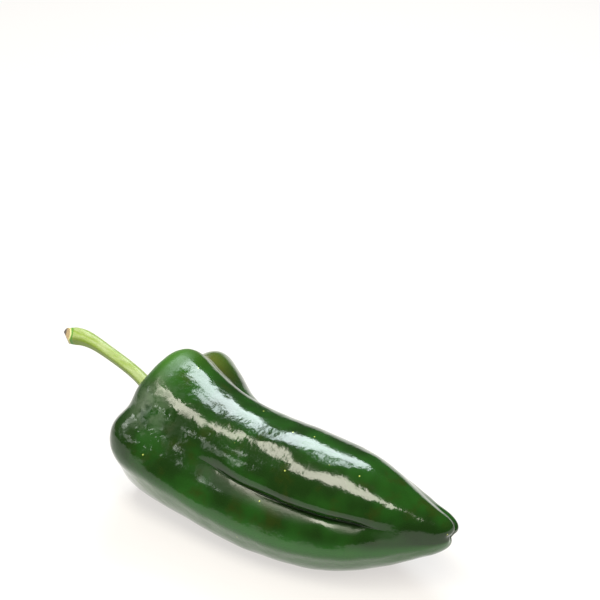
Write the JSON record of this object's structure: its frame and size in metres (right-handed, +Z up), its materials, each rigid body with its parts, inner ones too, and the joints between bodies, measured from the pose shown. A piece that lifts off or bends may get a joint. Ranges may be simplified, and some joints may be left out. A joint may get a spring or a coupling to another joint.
{
  "type": "poblano pepper",
  "caption": "Whole poblano pepper as picked, lying on its side: a tapering lobed pod with a hollow shoulder, and its stem with the calyx.",
  "frame": {"origin": "on the surface the pepper lies on, under the middle of its bounding box", "axes": "+X from the stem to the tip, -Y towards the side with the fold between the top and the front lobe, +Z up"},
  "size_m": [0.187, 0.0714, 0.0599],
  "materials": {
    "pod_skin": "waxy deep green pepper skin, stands in for a natural surface",
    "stem_skin": "yellow-green ribbed pepper stem, stands in for a natural surface"
  },
  "bodies": {
    "root": {"pod": "pod_skin", "stem": "stem_skin"}
  },
  "joints": []
}
